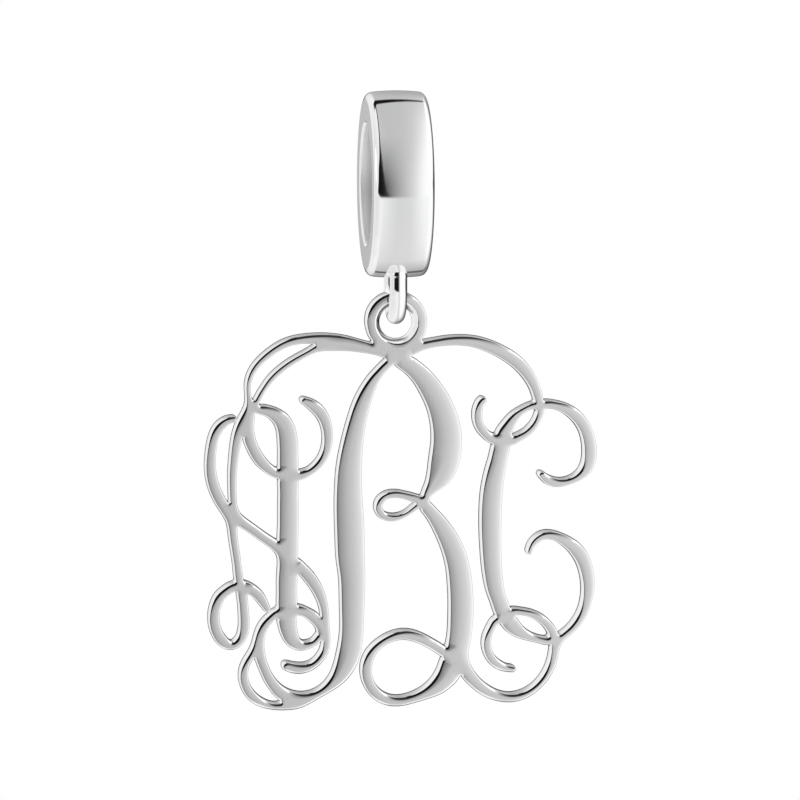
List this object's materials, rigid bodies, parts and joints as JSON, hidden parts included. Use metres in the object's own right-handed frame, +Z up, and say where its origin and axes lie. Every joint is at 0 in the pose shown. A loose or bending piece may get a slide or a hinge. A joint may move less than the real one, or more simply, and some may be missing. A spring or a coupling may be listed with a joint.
{
  "type": "initial pendant",
  "caption": "Slide-on bead with a soldered wire loop, carrying a swinging pierced monogram of interlaced vine initials cut from flat polished metal.",
  "frame": {"origin": "centre of the bead's bore, on its axis, midway between its two mouths", "axes": "+X along the bore's axis to the wearer's left, +Y to the back of the monogram, +Z up"},
  "size_m": [0.0157, 0.0074, 0.0247],
  "materials": {
    "polished_silver_bead": "mirror-polished sterling silver with the finest hairline marks",
    "polished_silver_plate": "polished sterling silver plate with softly rounded edges"
  },
  "bodies": {
    "bead": {"charm_bead": "polished_silver_bead"},
    "pendant": {"monogram": "polished_silver_plate"}
  },
  "joints": [
    {"name": "pendant_swing", "type": "hinge", "parent": "bead", "child": "pendant", "pos_m": [0, 0, -0.00549], "axis": [0, 1, 0], "range_deg": [-70, 70]}
  ]
}
